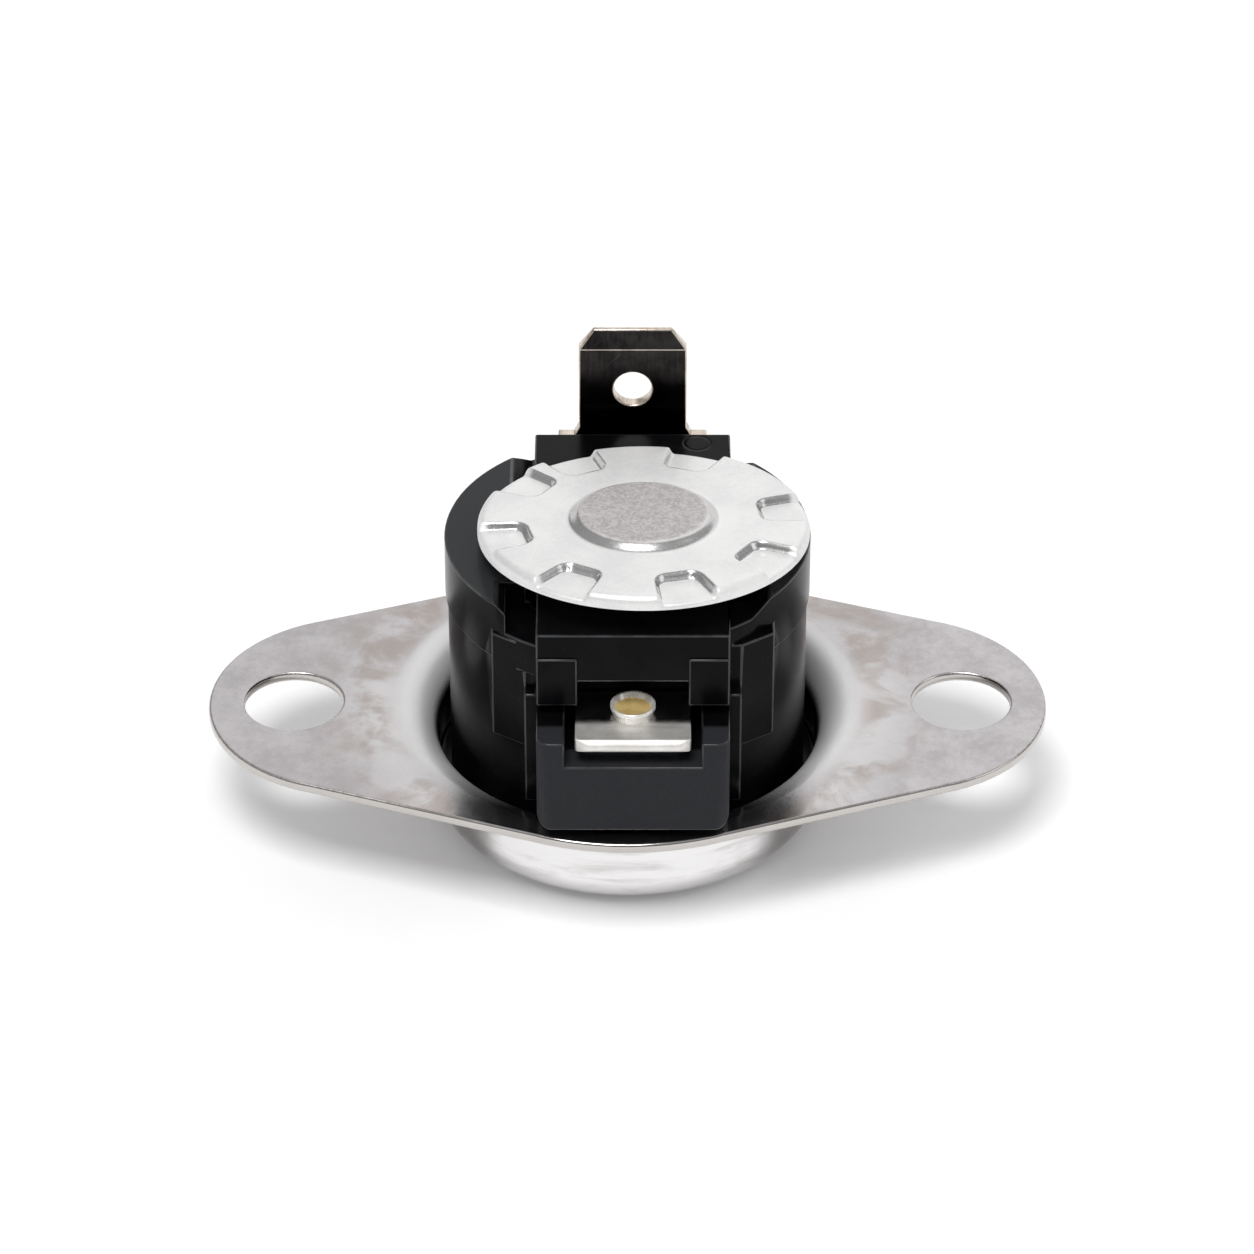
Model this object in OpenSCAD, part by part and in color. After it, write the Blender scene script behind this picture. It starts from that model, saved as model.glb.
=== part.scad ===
// Bimetal thermostat with a two-hole flange, a drawn sensing cup and two flat blade terminals.
// Millimetres. The origin is the centre of the flange's underside, +X runs through both screw holes,
// -Y is the side of the flat terminal and +Z points away from the sensed surface.

/* [Mounting flange] */
// Distance between the two screw holes
hole_spacing = 38.1; // [36:0.1:44]
// Diameter of each screw hole
hole_d = 5.6; // [4:0.1:6.2]
// Sheet thickness of the flange and cup
sheet_t = 0.6; // [0.5:0.05:0.7]
// Distance from a screw hole inwards to the centre of its rounded ear
ear_inset = 3.75; // [3:0.05:4.5]
// Radius of each rounded ear
ear_r = 8.6; // [8.2:0.1:9]
// Radius of the flange in front of and behind the cup
waist_r = 13.9; // [13.5:0.1:14.5]

/* [Sensing cup] */
// Inner radius of the cup wall
cup_r = 10.8; // [10.6:0.1:11.2]
// Depth of the cup below the underside of the flange
cup_depth = 6; // [5.8:0.1:6.6]
// Bend radius from the flange into the cup, on the upper side
mouth_bend = 2; // [1.5:0.1:2.2]
// Outer bend radius at the floor of the cup
floor_bend = 2.5; // [2.2:0.1:2.8]

/* [Switch body] */
// Gap between the body and the wall of the cup
body_gap = 0.7; // [0.6:0.05:0.9]
// How far the collar round the top stands out from the body
collar_step = 0.15; // [0.1:0.05:0.4]
// Height of the collar
collar_h = 3.65; // [3:0.05:4]
// Height of the rim above the underside of the flange
rim_z = 12.1; // [11.9:0.1:12.6]
// Radius of the switch chamber
chamber_r = 7.3; // [7.1:0.1:7.4]
// Radius of the wider mouth at the top of the chamber
mouth_r = 7.5; // [7.4:0.1:7.7]
// Depth of the wider mouth
mouth_h = 1.3; // [0.8:0.1:2]

/* [Terminal blocks] */
// Width of the front terminal block
block_w = 10.6; // [10.4:0.1:11]
// Width of the rear terminal block
rear_block_w = 11.2; // [10.8:0.1:11.4]
// Sideways shift of both blocks and their terminals from the axis
block_x = 0.3; // [0:0.1:0.4]
// Distance from the axis to the outer face of the lower block
block_y = 13.2; // [12.9:0.1:13.6]
// Height of the top of the lower block
block_top = 6.9; // [6.7:0.1:7.1]
// Gap between the lower block and the upper block
slot_h = 0.65; // [0.5:0.05:0.9]
// Radius of the upright edges of the lower block
block_edge = 0.8; // [0.4:0.1:1.2]
// Distance from the axis to the face of the bar across the top
bar_y = 10.3; // [10:0.1:10.5]
// Height of the bar across the top
bar_h = 1.5; // [1.2:0.1:1.8]
// Distance from the axis to the faces of the two cheeks under the bar
cheek_y = 10.45; // [10.35:0.05:10.9]
// Width of each cheek
cheek_w = 2.25; // [1.8:0.05:2.3]
// Height of the face between the cheeks
web_h = 3.05; // [2.6:0.05:3.3]
// Width of the channel that holds a terminal
channel_w = 7.5; // [7.2:0.1:7.8]

/* [Terminals] */
// Width of the front blade and of both feet
tab_w = 6.35; // [6.2:0.05:6.6]
// Thickness of a terminal blade
tab_t = 0.8; // [0.7:0.05:0.85]
// Width of the upright blade
blade_w = 6.2; // [6:0.05:6.4]
// Height of the tip of the upright blade
blade_top = 18.05; // [17.5:0.05:19.5]
// Width across the shoulders of the upright blade
shoulder_w = 8.6; // [7.5:0.1:9.5]
// Diameter of the hole in the upright blade
blade_hole_d = 2.2; // [1.6:0.1:2.8]
// Distance from the axis to each rivet
rivet_y = 10.3; // [10.2:0.05:10.45]
// Diameter of a rivet's shank
rivet_d = 1.9; // [1.6:0.05:2]
// Diameter of a rivet's flared end
flare_d = 2.5; // [2.3:0.05:2.6]

/* [Cover] */
// Radius of the pressed cover
cover_r = 9.25; // [9.1:0.05:9.4]
// Sheet thickness of the cover
cover_t = 0.35; // [0.3:0.05:0.4]
// Outer bend radius of the cover's turned-down edge
edge_bend = 0.45; // [0.45:0.05:0.55]
// Depth of the pockets pressed into the cover's rim
emboss_h = 0.45; // [0.35:0.05:0.6]
// Radius of the dome at its foot
dome_r = 4.15; // [3.6:0.05:4.6]
// Height of the dome
dome_h = 0.45; // [0.3:0.05:0.8]
// Sideways shift of the cover on the rim
cover_x = 0.9; // [0:0.1:1]
// Forward shift of the cover on the rim
cover_y = 1.4; // [0:0.1:1.5]
// Lean of the cover, front edge up
cover_tilt = 5.5; // [0:0.5:7]

/* [Switch works] */
// Thickness of the bimetal disc
disc_t = 0.25; // [0.2:0.05:0.3]
// Diameter of the pin between the disc and the contact arm
pin_d = 2; // [1.6:0.1:2.2]
// Width of the contact arm
arm_w = 3; // [2.4:0.1:3.6]
// Thickness of the contact arm
arm_t = 0.25; // [0.2:0.05:0.3]
// Width of the two inner strips
strip_w = 4; // [3.6:0.1:4.2]
// Thickness of the two inner strips
strip_t = 0.5; // [0.4:0.05:0.6]
// Diameter of each contact button
contact_d = 2.4; // [2:0.1:2.6]
// Height of each contact button
contact_h = 0.5; // [0.4:0.05:0.55]

/* [Fits] */
// Clearance round sliding and seated pieces
slide_fit = 0.05; // [0.02:0.01:0.08]
// Clearance between pieces that meet when the switch is at rest
rest_gap = 0.06; // [0.04:0.01:0.1]

/* [Hidden] */
$fn = 96;
eps = 0.01;
cut_over = 1;

// Flange and cup
ear_x = hole_spacing / 2 - ear_inset;
ear_lean = asin((waist_r - ear_r) / ear_x);
throat_r = cup_r + mouth_bend;
floor_in = floor_bend - sheet_t;
floor_z = sheet_t - cup_depth;
bend_z = floor_z + floor_in;

// Bimetal disc: its rim lies on the rounded corner of the cup, its middle hangs just over the floor
disc_inset = 0.9;
disc_r = cup_r - disc_inset;
disc_rise = floor_in - sqrt(pow(floor_in, 2) - pow(floor_in - disc_inset, 2)) + slide_fit;
disc_rim_z = floor_z + disc_rise;
disc_sag = 0.8 * disc_rise;
disc_flat_r = 2.5;

// Body and its foot in the cup
disc_room = 0.15;
foot_z = disc_rim_z + disc_t + disc_room;
snap_room = 0.75;
snap_ledge = 0.7;
snap_r = disc_r - snap_ledge;
deck_z = foot_z + snap_room;
deck_t = 1.5;
foot_rim = 0.7;
foot_top = deck_z + foot_rim;
guide_wall = 1.3;
guide_r = pin_d / 2 + guide_wall;
guide_h = 2.5;
body_r = cup_r - body_gap;
collar_r = body_r + collar_step;
collar_z = rim_z - collar_h;

// Terminal blocks
block_gap = 0.5;
block_z = sheet_t + block_gap;
cheek_z = block_top + slot_h;
bar_z = rim_z - bar_h;
core_y = 6;
web_z = rim_z - web_h;
chamber_wall = 0.7;
cavity_y = chamber_r + chamber_wall;
terminal_top = block_top + slide_fit;
terminal_z = terminal_top - tab_t;
trench_depth = 0.8;
trench_z = terminal_z - trench_depth;
pad_w = 5.2;
pad_inset = 1.2;
pad_y = block_y - pad_inset;

// Side plates beside the blocks
rib_w = 0.7;
rib_inset = 1.5;
rib_y = cup_r - rib_inset;
rib_z = sheet_t / 2;
rib_rise = 0.6;
rib_top = block_top + rib_rise;
facet_x = 7.8;
facet_y = 7.3;
facet_step = 1.2;
facet_lift = 2.4;
facet_z = block_z + facet_lift;
facet_drop = 1.85;
facet_top = rim_z - facet_drop;

// Openings in the rim beside the blocks
notch_slope = 1.1;
notch_h = 0.7;
front_notch = 1.2;
rear_notch = 0.2;
port_w = 1.7;
port_h = 1.6;

// Inner strips and their rivets
strip_drop = 2.6;
strip_top = block_top - strip_drop;
strip_z = strip_top - strip_t;
strip_over = 1.5;
strip_end = rivet_y + strip_over;
bay_gap = 0.2;
bay_w = strip_w + 2 * bay_gap;
head_step = 0.5;
rivet_head_d = rivet_d + 2 * head_step;
rivet_head_h = 0.5;
neck_step = 0.1;
flare_h = 0.7;
flare_lip = 0.1;
eyelet_d = 1.7;
eyelet_depth = 0.53;

// Contact arm, contacts and pin
hinge_y = 6.8;
arm_z = strip_top + rest_gap;
arm_reach = 4.4;
contact_y = 3.1;
bracket_reach = 5.4;
fixed_top = arm_z - contact_h - rest_gap;
fixed_strip_top = fixed_top - contact_h;
fixed_reach = 1.8;
joggle_out = 6.6;
joggle_in = 5.2;
pin_foot = disc_rim_z - disc_sag + disc_t + slide_fit;
pin_top = arm_z - rest_gap;

// Terminals
tab_inset = 0.1;
tab_end = block_y - tab_inset;
tab_root = cavity_y + tab_inset;
tip_bevel = 0.25;
tip_cut = 0.65;
blade_cut = 0.85;
blade_bevel = 1.2;
leg_gap = 1.5;
leg_y = bar_y + leg_gap;
leg_bend = 0.4;
shoulder_drop = 1.1;
shoulder_h = 3.3;
shoulder_top = rim_z - shoulder_drop;
shoulder_z = shoulder_top - shoulder_h;
fillet_w = 0.3;
fillet_h = 0.6;
hole_drop = 3.85;
blade_hole_z = blade_top - hole_drop;

// Cover: the pockets sit where the pressed rim shows them, counted from +X
pocket_angles = [9.5, 70, 118.5, 146.5, 193.5, 240, 285.5, 327.5];
pocket_out_w = 3.6;
pocket_in_w = 2.35;
pocket_in_r = 6.6;
pocket_lip = 0.06;
cover_plate_z = emboss_h;
cover_top = cover_plate_z + cover_t;
dome_slope = 0.5;

// Flat outline of the flange: a middle circle and two ears joined by tangent lines
module flange_outline() {
    circle(waist_r);
    for (side = [-1, 1])
        translate([side * ear_x, 0])
            circle(ear_r);
    near = (waist_r - eps) * [sin(ear_lean), cos(ear_lean)];
    far = [ear_x, 0] + (ear_r - eps) * [sin(ear_lean), cos(ear_lean)];
    polygon([near, [-near.x, near.y], [-far.x, far.y], [-far.x, -far.y],
             [-near.x, -near.y], [near.x, -near.y], [far.x, -far.y], far]);
}

// Half section of the drawn sheet, from beyond the ears to the middle of the cup's floor
module cup_section() {
    translate([throat_r, 0])
        square([ear_x + 2 * ear_r - throat_r, sheet_t]);
    translate([throat_r, sheet_t - mouth_bend])
        difference() {
            intersection() {
                circle(mouth_bend);
                translate([-mouth_bend, 0])
                    square(mouth_bend);
            }
            circle(mouth_bend - sheet_t);
        }
    translate([cup_r, bend_z])
        square([sheet_t, sheet_t - mouth_bend - bend_z]);
    translate([cup_r - floor_in, bend_z])
        difference() {
            intersection() {
                circle(floor_bend);
                translate([0, -floor_bend])
                    square(floor_bend);
            }
            circle(floor_in);
        }
    translate([0, -cup_depth])
        square([cup_r - floor_in, sheet_t]);
}

// One drawn sheet: flat flange with two screw holes and the cup in its middle
module mounting_flange() {
    color("lightsteelblue")
        intersection() {
            rotate_extrude()
                cup_section();
            translate([0, 0, -cup_depth - cut_over])
                linear_extrude(cup_depth + sheet_t + 2 * cut_over)
                    difference() {
                        flange_outline();
                        for (side = [-1, 1])
                            translate([side * hole_spacing / 2, 0])
                                circle(d = hole_d);
                    }
        }
}

// Half section of the foot that fills the cup above the disc
module foot_section() {
    intersection() {
        union() {
            translate([0, floor_z])
                square([cup_r - floor_in, foot_top - floor_z]);
            translate([0, bend_z])
                square([cup_r - slide_fit, foot_top - bend_z]);
            translate([cup_r - floor_in, bend_z])
                circle(floor_in - slide_fit);
        }
        translate([0, foot_z])
            square([cup_r, foot_top - foot_z]);
    }
}

// Footprint of a lower block of width w, with rounded outer edges
module block_plan(w) {
    translate([-w / 2, block_edge - block_y])
        square([w, block_y - block_edge - core_y]);
    translate([block_edge - w / 2, -block_y])
        square([w - 2 * block_edge, block_y - core_y]);
    for (side = [-1, 1])
        translate([side * (w / 2 - block_edge), block_edge - block_y])
            circle(block_edge);
}

// Front outline of a lower block of width w, with rounded lower corners
module block_front(w) {
    translate([-w / 2, block_z + block_edge])
        square([w, block_top - block_z - block_edge]);
    translate([block_edge - w / 2, block_z])
        square([w - 2 * block_edge, block_top - block_z]);
    for (side = [-1, 1])
        translate([side * (w / 2 - block_edge), block_z + block_edge])
            circle(block_edge);
}

// Footprint of the flat plates beside a block of width w
module facet_plan(w) {
    rib_x = w / 2 + rib_w;
    for (side = [0, 1])
        mirror([side, 0])
            polygon([[w / 2 - eps, -core_y], [w / 2 - eps, -facet_y - facet_step],
                     [rib_x, -facet_y - facet_step], [facet_x, -facet_y],
                     [facet_x, cut_over - core_y]]);
}

// Everything solid that stands out of the round body on one side
module block(w) {
    intersection() {
        translate([0, 0, block_z])
            linear_extrude(block_top - block_z)
                block_plan(w);
        rotate([90, 0, 0])
            linear_extrude(block_y + cut_over)
                block_front(w);
    }
    translate([-w / 2, -bar_y, bar_z])
        cube([w, bar_y - core_y, bar_h]);
    for (side = [0, 1])
        mirror([side, 0, 0])
            translate([w / 2 - cheek_w, -cheek_y, cheek_z])
                cube([cheek_w, cheek_y - core_y, bar_z - cheek_z]);
    translate([-w / 2, -bar_y, web_z])
        cube([w, bar_y - core_y, bar_z - web_z + eps]);
    translate([0, 0, facet_z])
        linear_extrude(facet_top - facet_z)
            facet_plan(w);
    for (side = [0, 1])
        mirror([side, 0, 0])
            translate([w / 2 - eps, -rib_y, rib_z])
                cube([rib_w + eps, rib_y - core_y, rib_top - rib_z]);
}

// Space for a terminal, the face between the cheeks and the sloped openings in the rim
module block_cuts(w, flat) {
    translate([-w / 2, -collar_r - cut_over, block_top])
        cube([w, collar_r + cut_over - cavity_y, slot_h]);
    translate([cheek_w - w / 2, -collar_r - cut_over, block_top])
        cube([w - 2 * cheek_w, collar_r + cut_over - cavity_y, web_z - block_top]);
    translate([-channel_w / 2, -block_y - eps, trench_z])
        cube([channel_w, block_y + eps - cavity_y, block_top + eps - trench_z]);
    for (side = [0, 1])
        mirror([side, 0, 0])
            translate([w / 2, cut_over - core_y, rim_z])
                rotate([90, 0, 0])
                    linear_extrude(collar_r + cut_over - core_y)
                        polygon([[0, -notch_h], [flat, -notch_h], [flat + notch_slope, eps], [0, eps]]);
}

// Pad that carries a terminal in its channel
module terminal_pad() {
    translate([-pad_w / 2, -pad_y, trench_z - eps])
        cube([pad_w, pad_y - core_y - cut_over, terminal_z - trench_z + eps]);
}

// Bore for a rivet and the bay under it for an inner strip
module strip_bay() {
    translate([0, -rivet_y, strip_z])
        cylinder(d = rivet_d + 2 * slide_fit, h = terminal_top - strip_z);
    translate([-bay_w / 2, -strip_end - bay_gap, block_z - eps])
        cube([bay_w, strip_end + bay_gap - core_y, strip_top - block_z + eps]);
}

// Moulded body: foot in the cup, guide for the pin, chamber, collar and two terminal blocks
module switch_body() {
    color("dimgray")
        difference() {
            union() {
                difference() {
                    union() {
                        rotate_extrude()
                            foot_section();
                        translate([0, 0, foot_top - eps])
                            cylinder(r = body_r, h = collar_z - foot_top + 2 * eps);
                        translate([0, 0, collar_z])
                            cylinder(r = collar_r, h = collar_h);
                        translate([block_x, 0, 0]) {
                            block(block_w);
                            rotate(180)
                                block(rear_block_w);
                        }
                    }
                    translate([block_x, 0, 0]) {
                        block_cuts(block_w, front_notch);
                        rotate(180)
                            block_cuts(rear_block_w, rear_notch);
                    }
                }
                translate([block_x, 0, 0])
                    for (turn = [0, 180])
                        rotate(turn)
                            terminal_pad();
            }
            translate([block_x, 0, 0])
                for (turn = [0, 180])
                    rotate(turn)
                        strip_bay();
            translate([block_x - block_w / 2 - port_w, -collar_r, rim_z - port_h])
                cube([port_w, collar_r - core_y + cut_over, port_h + eps]);
            difference() {
                translate([0, 0, deck_z + deck_t])
                    cylinder(r = chamber_r, h = rim_z - deck_z);
                translate([0, 0, deck_z + deck_t - eps])
                    cylinder(r = guide_r, h = guide_h);
            }
            translate([0, 0, rim_z - mouth_h])
                cylinder(r = mouth_r, h = mouth_h + eps);
            translate([0, 0, foot_z - eps])
                cylinder(r = snap_r, h = snap_room + eps);
            translate([0, 0, foot_z])
                cylinder(d = pin_d + 2 * slide_fit, h = rim_z - foot_z);
        }
}

// Plan of one pressed pocket, widened by a margin
module pocket_plan(margin) {
    outer = pocket_out_w / 2 + margin;
    inner = pocket_in_w / 2 + margin;
    polygon([[pocket_in_r - margin, -inner], [cover_r + cut_over, -outer],
             [cover_r + cut_over, outer], [pocket_in_r - margin, inner]]);
}

// Half section of the cover without its pockets: dome, plate, rounded edge and skirt
module cover_section() {
    polygon([[0, cover_plate_z + dome_h], [dome_r - dome_slope - cover_t / 2, cover_plate_z + dome_h],
             [dome_r - cover_t / 2, cover_plate_z], [cover_r - edge_bend, cover_plate_z],
             [cover_r - edge_bend, cover_top], [dome_r, cover_top],
             [dome_r - dome_slope, cover_top + dome_h], [0, cover_top + dome_h]]);
    translate([cover_r - edge_bend, cover_top - edge_bend])
        difference() {
            intersection() {
                circle(edge_bend);
                square(edge_bend);
            }
            circle(edge_bend - cover_t);
        }
    translate([cover_r - cover_t, 0])
        square([cover_t, cover_top - edge_bend]);
}

// Pressed sheet cover that lies on the rim, its back edge down and its front edge raised
module cover_cap() {
    color("whitesmoke")
        translate([cover_x, cover_r - cover_y, rim_z + slide_fit])
            rotate([-cover_tilt, 0, 0])
                translate([0, -cover_r, 0])
                    difference() {
                        union() {
                            rotate_extrude()
                                cover_section();
                            for (turn = pocket_angles)
                                rotate(turn)
                                    intersection() {
                                        cylinder(r = cover_r - pocket_lip, h = cover_plate_z + pocket_lip);
                                        linear_extrude(cover_top)
                                            pocket_plan(cover_t);
                                    }
                        }
                        for (turn = pocket_angles)
                            rotate(turn)
                                translate([0, 0, cover_t])
                                    linear_extrude(cover_top)
                                        pocket_plan(0);
                    }
}

// Rivet hole of a terminal or strip, at the front
module rivet_hole() {
    translate([0, -rivet_y, strip_z - cut_over])
        cylinder(d = rivet_d + 2 * slide_fit, h = terminal_top - strip_z + 2 * cut_over);
}

// Flat blade in the front channel, with a bevelled tip and cut corners
module front_terminal() {
    color("silver")
        translate([block_x, 0, 0])
            difference() {
                intersection() {
                    rotate([90, 0, 90])
                        translate([0, 0, -tab_w / 2])
                            linear_extrude(tab_w)
                                polygon([[-tab_root, terminal_z], [-tab_root, terminal_top],
                                         [tip_bevel - tab_end, terminal_top],
                                         [-tab_end, terminal_top - tip_bevel],
                                         [-tab_end, terminal_z + tip_bevel],
                                         [tip_bevel - tab_end, terminal_z]]);
                    translate([0, 0, terminal_z])
                        linear_extrude(tab_t)
                            polygon([[-tab_w / 2, -tab_root], [-tab_w / 2, tip_cut / 2 - tab_end],
                                     [tip_cut - tab_w / 2, -tab_end], [tab_w / 2 - tip_cut, -tab_end],
                                     [tab_w / 2, tip_cut / 2 - tab_end], [tab_w / 2, -tab_root]]);
                }
                rivet_hole();
            }
}

// Outline of the upright leg: shoulders below, blade with cut corners above
module leg_outline() {
    polygon([[-tab_w / 2, terminal_z], [tab_w / 2, terminal_z], [tab_w / 2, shoulder_z],
             [shoulder_w / 2, shoulder_z], [shoulder_w / 2, shoulder_top],
             [blade_w / 2 + fillet_w, shoulder_top], [blade_w / 2, shoulder_top + fillet_h],
             [blade_w / 2, blade_top - blade_bevel], [blade_w / 2 - blade_cut, blade_top],
             [blade_cut - blade_w / 2, blade_top], [-blade_w / 2, blade_top - blade_bevel],
             [-blade_w / 2, shoulder_top + fillet_h], [-blade_w / 2 - fillet_w, shoulder_top],
             [-shoulder_w / 2, shoulder_top], [-shoulder_w / 2, shoulder_z], [-tab_w / 2, shoulder_z]]);
}

// Side section of the rear terminal: foot, bend and leg with a tapered tip
module leg_section() {
    bend_out = leg_bend + tab_t;
    translate([tab_root, terminal_z])
        square([leg_y - leg_bend - tab_root, tab_t]);
    translate([leg_y - leg_bend, terminal_z + bend_out])
        difference() {
            intersection() {
                circle(bend_out);
                translate([0, -bend_out])
                    square(bend_out);
            }
            circle(leg_bend);
        }
    polygon([[leg_y, terminal_z + bend_out], [leg_y + tab_t, terminal_z + bend_out],
             [leg_y + tab_t, blade_top - blade_bevel], [leg_y + tab_t - tip_bevel, blade_top],
             [leg_y + tip_bevel, blade_top], [leg_y, blade_top - blade_bevel]]);
}

// Upright blade on a riveted foot behind the body
module rear_terminal() {
    color("silver")
        translate([block_x, 0, 0])
            difference() {
                intersection() {
                    rotate([90, 0, 90])
                        translate([0, 0, -shoulder_w / 2])
                            linear_extrude(shoulder_w)
                                leg_section();
                    translate([0, block_y, 0])
                        rotate([90, 0, 0])
                            linear_extrude(block_y)
                                leg_outline();
                }
                translate([0, leg_y - cut_over, blade_hole_z])
                    rotate([-90, 0, 0])
                        cylinder(d = blade_hole_d, h = tab_t + 2 * cut_over);
                rotate(180)
                    rivet_hole();
            }
}

// Tubular rivet through a terminal, the body and an inner strip
module rivet() {
    translate([0, -rivet_y, 0])
        difference() {
            union() {
                translate([0, 0, strip_z - rivet_head_h])
                    cylinder(d = rivet_head_d, h = rivet_head_h);
                translate([0, 0, strip_z - eps])
                    cylinder(d = rivet_d, h = terminal_top + flare_h / 2 - strip_z + eps);
                translate([0, 0, terminal_top])
                    cylinder(d1 = rivet_d + 2 * neck_step, d2 = flare_d, h = flare_h);
            }
            translate([0, 0, terminal_top + flare_h - eyelet_depth])
                cylinder(d1 = eyelet_d, d2 = flare_d - 2 * flare_lip, h = eyelet_depth);
        }
}

// Rivet of the front terminal
module front_rivet() {
    color("gainsboro")
        translate([block_x, 0, 0])
            rivet();
}

// Rivet of the rear terminal
module rear_rivet() {
    color("gainsboro")
        translate([block_x, 0, 0])
            rotate(180)
                rivet();
}

// Rigid strip under the front rivet that carries the contact arm
module arm_bracket() {
    color("goldenrod")
        translate([block_x, 0, 0])
            difference() {
                translate([-strip_w / 2, -strip_end, strip_z])
                    cube([strip_w, strip_end - bracket_reach, strip_t]);
                rivet_hole();
            }
}

// Springy arm that the pin lifts to part the contacts
module contact_arm() {
    color("darkgoldenrod")
        translate([-arm_w / 2, -hinge_y, arm_z])
            cube([arm_w, hinge_y + arm_reach, arm_t]);
}

// Contact button under the free end of the arm
module moving_contact() {
    color("white")
        translate([0, contact_y, arm_z - contact_h])
            cylinder(d = contact_d, h = contact_h);
}

// Rigid strip under the rear rivet, stepped down to carry the fixed contact
module fixed_strip() {
    color("goldenrod")
        translate([block_x, 0, 0])
            difference() {
                rotate([90, 0, 90])
                    translate([0, 0, -strip_w / 2])
                        linear_extrude(strip_w)
                            polygon([[strip_end, strip_z], [strip_end, strip_top], [joggle_out, strip_top],
                                     [joggle_in, fixed_strip_top], [fixed_reach, fixed_strip_top],
                                     [fixed_reach, fixed_strip_top - strip_t],
                                     [joggle_in, fixed_strip_top - strip_t], [joggle_out, strip_z]]);
                rotate(180)
                    rivet_hole();
            }
}

// Contact button on the fixed strip
module fixed_contact() {
    color("white")
        translate([0, contact_y, fixed_strip_top])
            cylinder(d = contact_d, h = contact_h);
}

// Pin with a round head that carries the snap of the disc to the arm
module transfer_pin() {
    color("ivory") {
        translate([0, 0, pin_foot])
            cylinder(d = pin_d, h = pin_top - pin_d / 2 - pin_foot);
        translate([0, 0, pin_top - pin_d / 2])
            sphere(d = pin_d);
    }
}

// Dished disc that snaps through when it is hot
module bimetal_disc() {
    color("peru")
        rotate_extrude()
            polygon([[0, disc_rim_z - disc_sag], [disc_flat_r, disc_rim_z - disc_sag],
                     [disc_r, disc_rim_z], [disc_r, disc_rim_z + disc_t],
                     [disc_flat_r, disc_rim_z - disc_sag + disc_t],
                     [0, disc_rim_z - disc_sag + disc_t]]);
}

mounting_flange();
switch_body();
cover_cap();
front_terminal();
rear_terminal();
front_rivet();
rear_rivet();
arm_bracket();
contact_arm();
moving_contact();
fixed_strip();
fixed_contact();
transfer_pin();
bimetal_disc();
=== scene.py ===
"""Dresses a bimetal thermostat: soft edges, pressed cover, rivets, finishes, studio and camera."""
import logging
import math
from dataclasses import dataclass, field
from enum import Enum
from typing import Any, Dict, List, Mapping, Sequence, Tuple, Union

import bmesh
import bpy
from mathutils import Matrix, Vector


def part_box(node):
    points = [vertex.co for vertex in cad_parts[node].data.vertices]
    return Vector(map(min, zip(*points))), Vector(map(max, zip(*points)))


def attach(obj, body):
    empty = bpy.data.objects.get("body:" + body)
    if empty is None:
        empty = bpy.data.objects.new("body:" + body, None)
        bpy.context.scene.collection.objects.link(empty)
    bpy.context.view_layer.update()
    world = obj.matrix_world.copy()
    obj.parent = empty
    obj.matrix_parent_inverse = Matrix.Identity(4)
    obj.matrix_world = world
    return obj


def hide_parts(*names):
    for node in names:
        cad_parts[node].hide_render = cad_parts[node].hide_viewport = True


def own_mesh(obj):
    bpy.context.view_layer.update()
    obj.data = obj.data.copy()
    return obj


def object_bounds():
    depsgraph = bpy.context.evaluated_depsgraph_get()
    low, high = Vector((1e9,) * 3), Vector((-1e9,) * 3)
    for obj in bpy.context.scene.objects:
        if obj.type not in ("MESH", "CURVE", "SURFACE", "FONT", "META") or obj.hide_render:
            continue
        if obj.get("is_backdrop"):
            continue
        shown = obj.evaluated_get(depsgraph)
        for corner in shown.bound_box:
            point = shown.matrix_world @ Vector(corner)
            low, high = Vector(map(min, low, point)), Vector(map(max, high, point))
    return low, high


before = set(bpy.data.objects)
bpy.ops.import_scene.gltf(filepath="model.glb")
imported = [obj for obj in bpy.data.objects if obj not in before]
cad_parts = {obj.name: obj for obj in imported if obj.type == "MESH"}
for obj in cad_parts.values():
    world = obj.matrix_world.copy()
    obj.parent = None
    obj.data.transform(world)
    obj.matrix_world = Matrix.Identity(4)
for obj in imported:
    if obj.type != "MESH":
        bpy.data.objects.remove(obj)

LOG = logging.getLogger("thermostat")
MM = 0.001
CASE = "case"
MERGE_GAP = 0.02 * MM
WELD_GAP_MM = 0.001
FLAT_WITHIN = math.radians(0.5)
SHARP_FROM = 45.0
BROAD_FACE_WEIGHT = 90

Colour = Tuple[float, float, float, float]
Term = Union["Socket", float]
Key = Union[int, str]


def grey(level: float, warm: float = 0.0) -> Colour:
    """Return an opaque grey, made warmer by lifting red and lowering blue."""
    return (level * (1 + warm), level, level * (1 - warm), 1.0)


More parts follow.
